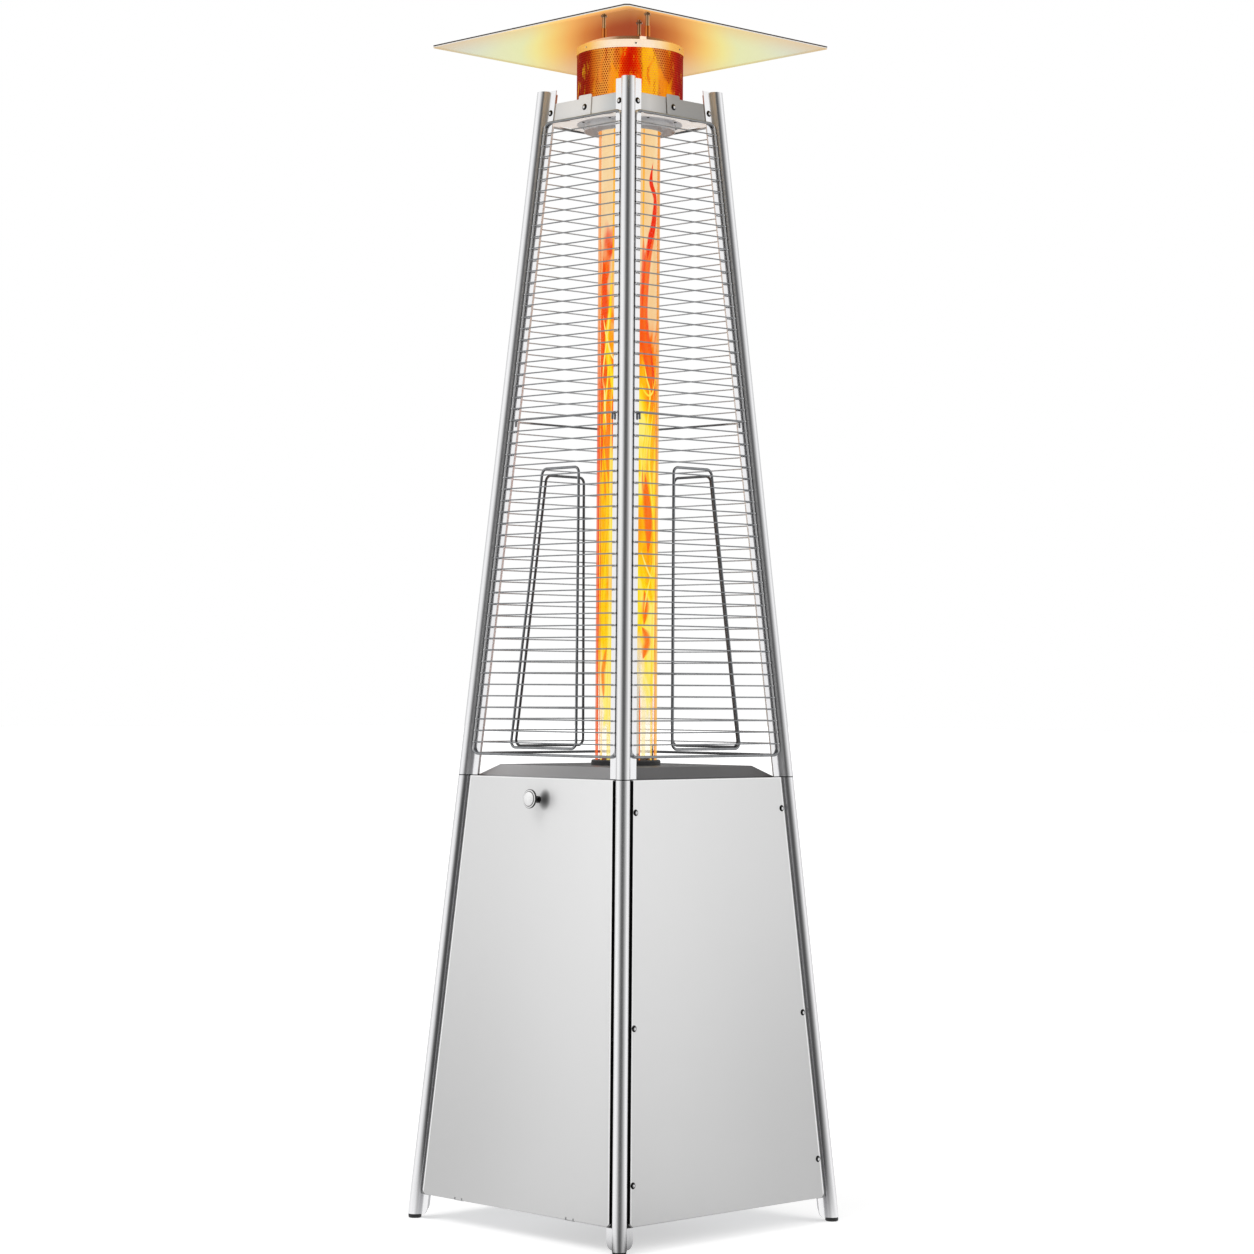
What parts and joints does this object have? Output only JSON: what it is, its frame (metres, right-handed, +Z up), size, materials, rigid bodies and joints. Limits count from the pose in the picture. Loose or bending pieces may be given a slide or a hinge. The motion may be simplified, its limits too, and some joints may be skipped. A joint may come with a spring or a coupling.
{
  "type": "glass tube propane heater",
  "caption": "Free-standing pyramid patio heater: tapered steel cabinet with a bottom-hinged door, tall glass flame tube behind wire guards, perforated flame screen and square hood.",
  "frame": {"origin": "centre of the footprint, on the floor under the tube's axis", "axes": "+Z up along the tube's axis, -Y towards the door, +X to the right of someone facing the door"},
  "size_m": [0.577, 0.577, 2.27],
  "materials": {
    "brushed_steel": "brushed",
    "band_steel": "brushed",
    "plain_steel": "mill",
    "guard_wire": "polished",
    "black_plastic": "matt",
    "button_plastic": "gloss",
    "chrome": "polished",
    "fastener_steel": "satin",
    "black_enamel": "satin",
    "burner_steel": "heat tinted",
    "probe_steel": "satin",
    "glass": "clear",
    "gasket_fibre": "fibrous",
    "brass": "machined",
    "cast_aluminium": "cast",
    "copper_tube": "drawn",
    "magnet": "matt",
    "screen_steel": "perforated",
    "lid_steel": "satin",
    "hood_steel": "brushed"
  },
  "bodies": {
    "tower": {"back_band": "band_steel", "back_guard": "guard_wire", "back_panel": "brushed_steel", "band_screws": "fastener_steel", "bezel_screws": "fastener_steel", "bottom_shelf": "plain_steel", "burner_head": "burner_steel", "burner_housing": "plain_steel", "burner_plate": "black_enamel", "collar_screws": "fastener_steel", "control_bezel": "black_plastic", "door_hinge_pins": "fastener_steel", "door_magnets": "magnet", "door_rail": "plain_steel", "flame_screen": "screen_steel", "foot_plugs": "black_plastic", "frame_screws": "fastener_steel", "front_band": "band_steel", "front_guard": "guard_wire", "gas_inlet": "brass", "gas_jet": "brass", "gas_pipe": "copper_tube", "gas_valve": "cast_aluminium", "glass_tube": "glass", "hood": "hood_steel", "hood_bolts": "fastener_steel", "hood_nuts": "fastener_steel", "hood_spacers": "fastener_steel", "igniter_housing": "black_plastic", "ignition_electrode": "probe_steel", "left_band": "band_steel", "left_guard": "guard_wire", "left_panel": "brushed_steel", "lid_rivets": "fastener_steel", "lower_post_back_left": "brushed_steel", "lower_post_back_right": "brushed_steel", "lower_post_front_left": "brushed_steel", "lower_post_front_right": "brushed_steel", "panel_screws": "fastener_steel", "post_joiners": "plain_steel", "right_band": "band_steel", "right_guard": "guard_wire", "right_panel": "brushed_steel", "screen_lid": "lid_steel", "thermocouple": "probe_steel", "tilt_switch": "black_plastic", "top_plate": "band_steel", "tube_collar": "band_steel", "tube_gasket": "gasket_fibre", "tube_seat": "black_enamel", "upper_post_back_left": "brushed_steel", "upper_post_back_right": "brushed_steel", "upper_post_front_left": "brushed_steel", "upper_post_front_right": "brushed_steel"},
    "door": {"door_panel": "brushed_steel", "door_knob": "chrome"},
    "dial": {"valve_core": "brass"},
    "dial_cap": {"control_knob": "black_plastic", "valve_stem": "plain_steel"},
    "igniter": {"igniter_button": "button_plastic"}
  },
  "joints": [
    {"name": "door_tilt", "type": "hinge", "parent": "tower", "child": "door", "pos_m": [0, -0.27509, 0.04771], "axis": [1, 0, 0], "range_deg": [0, 90]},
    {"name": "dial_turn", "type": "hinge", "parent": "tower", "child": "dial", "pos_m": [0.034, 0.22503, 0.7656], "axis": [0, 0.9971, 0.0766], "range_deg": [0, 180]},
    {"name": "dial_push", "type": "slide", "parent": "dial", "child": "dial_cap", "axis": [0, -0.9971, -0.0766], "range_m": [0, 0.004], "stiffness_N_per_m": 1500},
    {"name": "igniter_press", "type": "slide", "parent": "tower", "child": "igniter", "axis": [0, -0.9971, -0.0766], "range_m": [0, 0.005], "stiffness_N_per_m": 1200}
  ]
}
